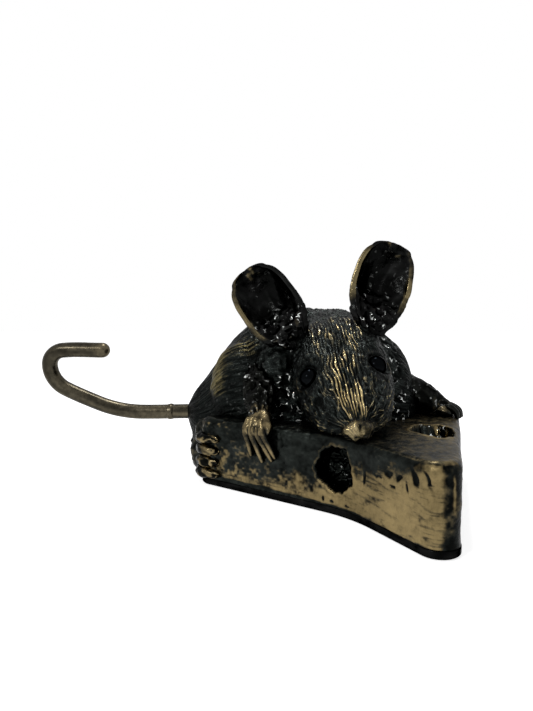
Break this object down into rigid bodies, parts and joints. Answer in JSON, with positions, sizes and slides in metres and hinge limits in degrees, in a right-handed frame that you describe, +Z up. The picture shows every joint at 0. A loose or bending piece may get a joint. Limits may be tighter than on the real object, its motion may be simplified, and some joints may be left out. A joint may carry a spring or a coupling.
{
  "type": "mouse figurine",
  "caption": "Cast bronze mouse with cupped ears and a bent rod tail, leaning over a wedge of holed cheese on a dark base plate.",
  "frame": {"origin": "on the table, on the underside of the base plate, under the middle of the wedge", "axes": "+Z up, -Y the way the mouse faces, +X to the mouse's left; the tail runs towards -X"},
  "size_m": [0.1574, 0.116, 0.0835],
  "materials": {
    "fur_bronze": "near-black patina, satin, rubbed to brass on the raised hair",
    "ear_bronze": "glossy black patina, rim rubbed to brass",
    "eye_bronze": "glossy black patina",
    "paw_bronze": "brass with dark patina in the hollows",
    "tail_bronze": "olive-brown patina, satin",
    "cheese_bronze": "muted brass with a dark patina, finely scratched",
    "base_bronze": "black patina, semi-gloss",
    "steel": "plain steel"
  },
  "bodies": {
    "root": {"cheese_wedge": "cheese_bronze", "base_plate": "base_bronze", "base_screws": "steel", "chest_screws": "steel", "body": "fur_bronze", "belly_plate": "base_bronze", "head": "fur_bronze", "neck_dowel": "steel", "left_ear": "ear_bronze", "right_ear": "ear_bronze", "left_eye": "eye_bronze", "right_eye": "eye_bronze", "left_foreleg": "paw_bronze", "right_foreleg": "paw_bronze", "foreleg_dowels": "steel", "left_hind_foot": "paw_bronze", "right_hind_foot": "paw_bronze", "hind_foot_dowels": "steel", "tail": "tail_bronze", "tail_collar": "tail_bronze"}
  },
  "joints": []
}
